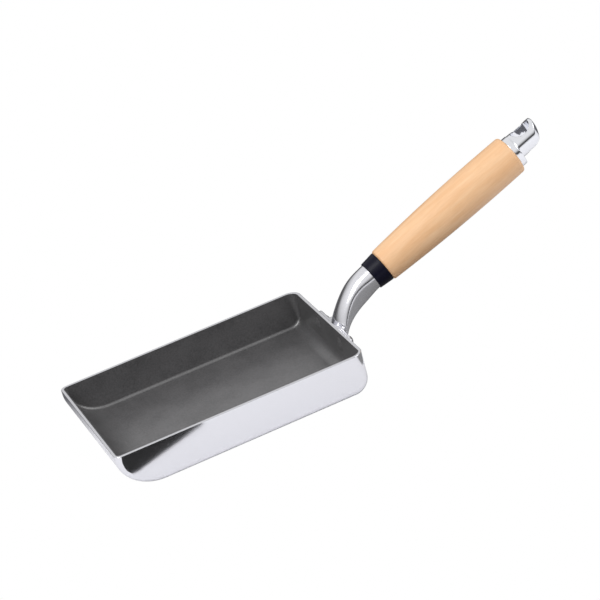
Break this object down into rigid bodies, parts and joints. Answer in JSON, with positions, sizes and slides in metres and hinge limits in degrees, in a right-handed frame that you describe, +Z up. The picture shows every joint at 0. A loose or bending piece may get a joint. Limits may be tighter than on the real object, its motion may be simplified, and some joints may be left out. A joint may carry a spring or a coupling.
{
  "type": "tamagoyaki pan",
  "caption": "Rectangular rolled-omelette pan with a curved front ramp, dark non-stick inside, riveted curved bracket and turned wooden handle with a metal hanging cap.",
  "frame": {"origin": "centre of the flat base's underside, midway along and across the pan without its handle", "axes": "+X towards the handle, +Z up, +Y across the pan; the part is symmetric about the XZ plane"},
  "size_m": [0.367, 0.135, 0.1137],
  "materials": {
    "pan_metal": "satin, evenly polished",
    "nonstick": "dark grey non-stick coating with a fine mottled texture",
    "bracket_metal": "polished casting",
    "rivet_metal": "plain",
    "black_resin": "smooth heat-proof resin",
    "beech": "turned, sanded and clear-lacquered beech",
    "rod_steel": "plain drawn steel",
    "cap_chrome": "bright plated"
  },
  "bodies": {
    "root": {"pan_body": "pan_metal", "nonstick_lining": "nonstick", "handle_bracket": "bracket_metal", "rivet_left": "rivet_metal", "rivet_right": "rivet_metal", "insulating_ring": "black_resin", "wooden_grip": "beech", "clamping_rod": "rod_steel", "end_cap": "cap_chrome"}
  },
  "joints": []
}
